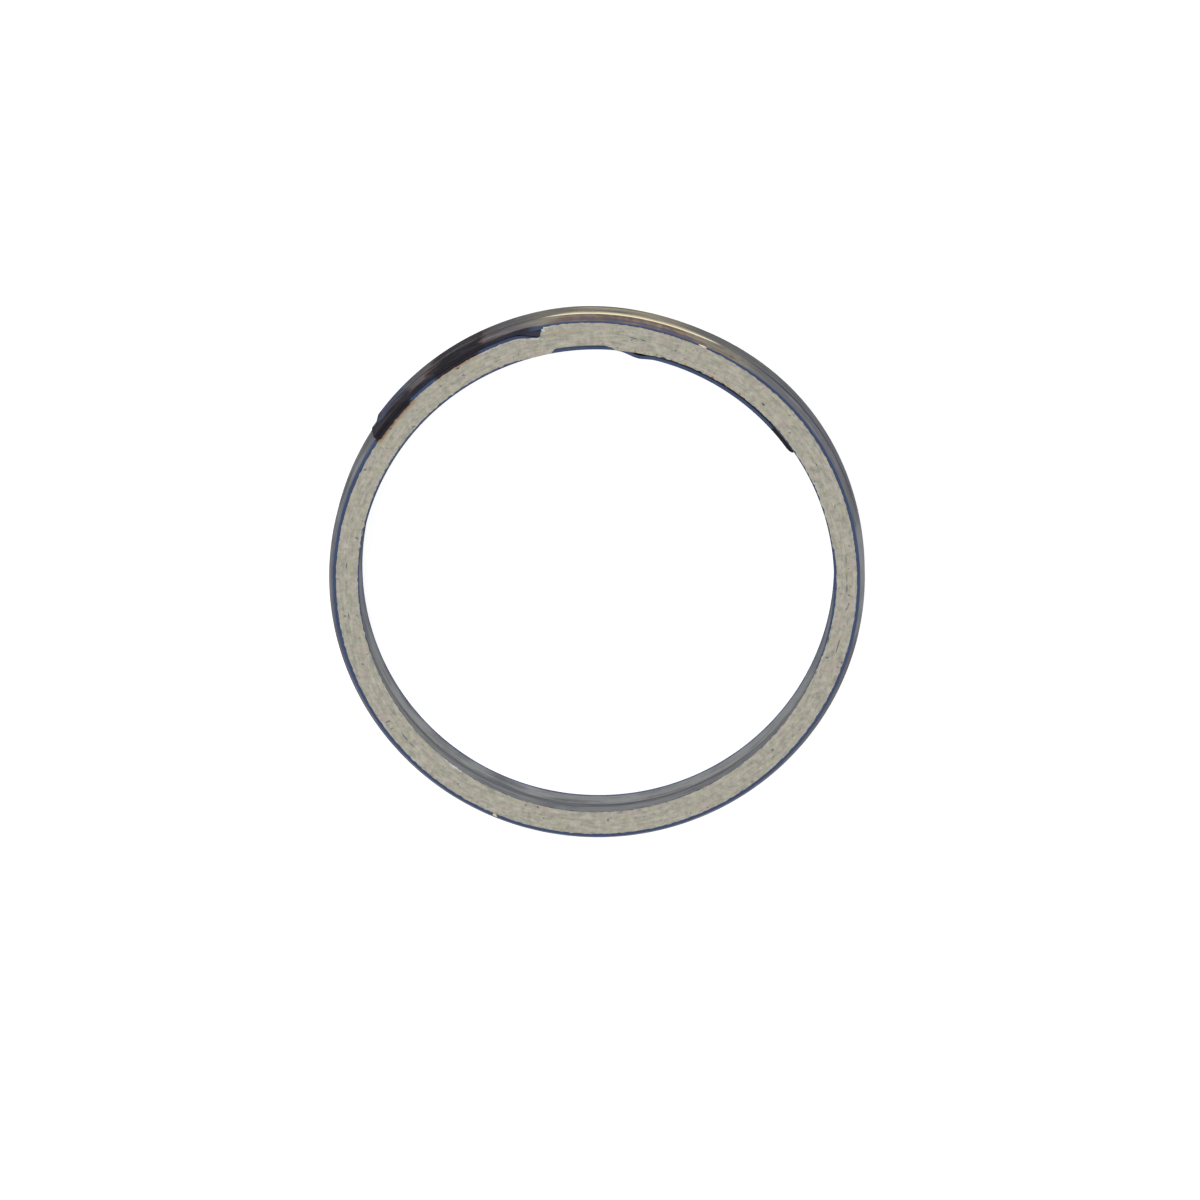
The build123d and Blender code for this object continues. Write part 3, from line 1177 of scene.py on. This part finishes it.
class GASKET_OT_set_stage(bpy.types.Operator):
    """Set the floor, the soft lights and the camera"""

    bl_idname = "gasket.set_stage"
    bl_label = "Set Stage"

    def execute(self, context):
        stage = context.scene.gasket_stage
        self.add_camera(context.scene, stage)
        self.add_sky(context.scene, stage)
        self.add_floor(stage)
        for light in LIGHTS:
            self.add_light(*light)
        return {"FINISHED"}

    def add_camera(self, scene, stage):
        camera = link_object("Camera", bpy.data.cameras.new("Camera"))
        lean, swing = sin(stage.tilt), stage.swing
        toward = Vector((lean * sin(swing), lean * cos(swing), cos(stage.tilt)))
        across = Vector((0, 1, 0)).cross(toward).normalized()
        upward = toward.cross(across)
        turn = Matrix((across, upward, toward)).transposed().to_4x4()
        place = Vector(stage.aim) + toward * stage.distance
        camera.matrix_world = Matrix.Translation(place) @ turn
        camera.data.lens = stage.lens
        camera.data.sensor_width = 36.0
        camera.data.clip_start = 0.01
        camera.data.clip_end = 10.0
        scene.camera = camera

    def add_sky(self, scene, stage):
        world = bpy.data.worlds.new("Sky")
        scene.world = world
        world.use_nodes = True
        world.node_tree.nodes.clear()
        sheet = NodeSheet(world.node_tree)
        seen = sheet.add("ShaderNodeLightPath").outputs["Is Camera Ray"]
        power = sheet.output("ShaderNodeMapRange", {0: seen, 3: stage.sky, 4: 1.0})
        white = (1.0, 1.0, 1.0, 1.0)
        sky = sheet.output("ShaderNodeBackground", {"Color": white, "Strength": power})
        sheet.add("ShaderNodeOutputWorld", {0: sky})

    def add_floor(self, stage):
        half = 1.2
        corners = [(-half, -half, 0), (half, -half, 0), (half, half, 0), (-half, half, 0)]
        floor = add_mesh("floor", corners, (), [(0, 1, 2, 3)])
        material, sheet, output = bare_material("White floor")
        path = sheet.add("ShaderNodeLightPath")
        rays = path.outputs["Is Camera Ray"], path.outputs["Is Glossy Ray"]
        power = sheet.math("MULTIPLY", sheet.math("MAXIMUM", *rays), stage.glow)
        paint = sheet.output("ShaderNodeBsdfDiffuse", {"Color": stage.floor})
        glow = sheet.output("ShaderNodeEmission", {"Strength": power})
        both = sheet.output("ShaderNodeAddShader", {0: paint, 1: glow})
        sheet.tree.links.new(both, output.inputs[0])
        floor.data.materials.append(material)

    def add_light(self, name, place, size, power):
        data = bpy.data.lights.new(name, "AREA")
        data.shape = "DISK"
        data.size = size
        data.energy = power
        lamp = link_object(name, data)
        back = Vector(place).normalized()
        lamp.rotation_mode = "QUATERNION"
        lamp.rotation_quaternion = (-back).to_track_quat("-Z", "Y")
        lamp.location = place


class GASKET_PT_sidebar(bpy.types.Panel):
    """Lists what can be made and its sizes"""

    bl_idname = "GASKET_PT_sidebar"
    bl_label = "Exhaust Gasket"
    bl_space_type = "VIEW_3D"
    bl_region_type = "UI"
    bl_category = "Gasket"

    def draw(self, context):
        for name, group, operator in PARTS:
            box = self.layout.box()
            for setting in group.__annotations__:
                box.prop(getattr(context.scene, name), setting)
            if operator:
                box.operator(operator)


# Settings of each part: their name on the scene, their class and their operator
PARTS = [
    ("gasket_winding", GasketWinding, None),
    ("gasket_steel", GasketSteel, "gasket.wind_steel"),
    ("gasket_filler", GasketFiller, "gasket.wind_filler"),
    ("gasket_stage", GasketStage, "gasket.set_stage"),
]
CLASSES = [group for name, group, operator in PARTS] + [
    GASKET_OT_wind_steel,
    GASKET_OT_wind_filler,
    GASKET_OT_set_stage,
    GASKET_PT_sidebar,
]


def register():
    for item in CLASSES:
        bpy.utils.register_class(item)
    for name, group, operator in PARTS:
        setattr(bpy.types.Scene, name, bpy.props.PointerProperty(type=group))


def unregister():
    for name, group, operator in PARTS:
        delattr(bpy.types.Scene, name)
    for item in reversed(CLASSES):
        bpy.utils.unregister_class(item)


def main():
    register()
    bpy.context.scene.view_settings.view_transform = "Standard"
    bpy.ops.gasket.wind_steel()
    bpy.ops.gasket.wind_filler()
    bpy.ops.gasket.set_stage()


if __name__ == "__main__":
    main()
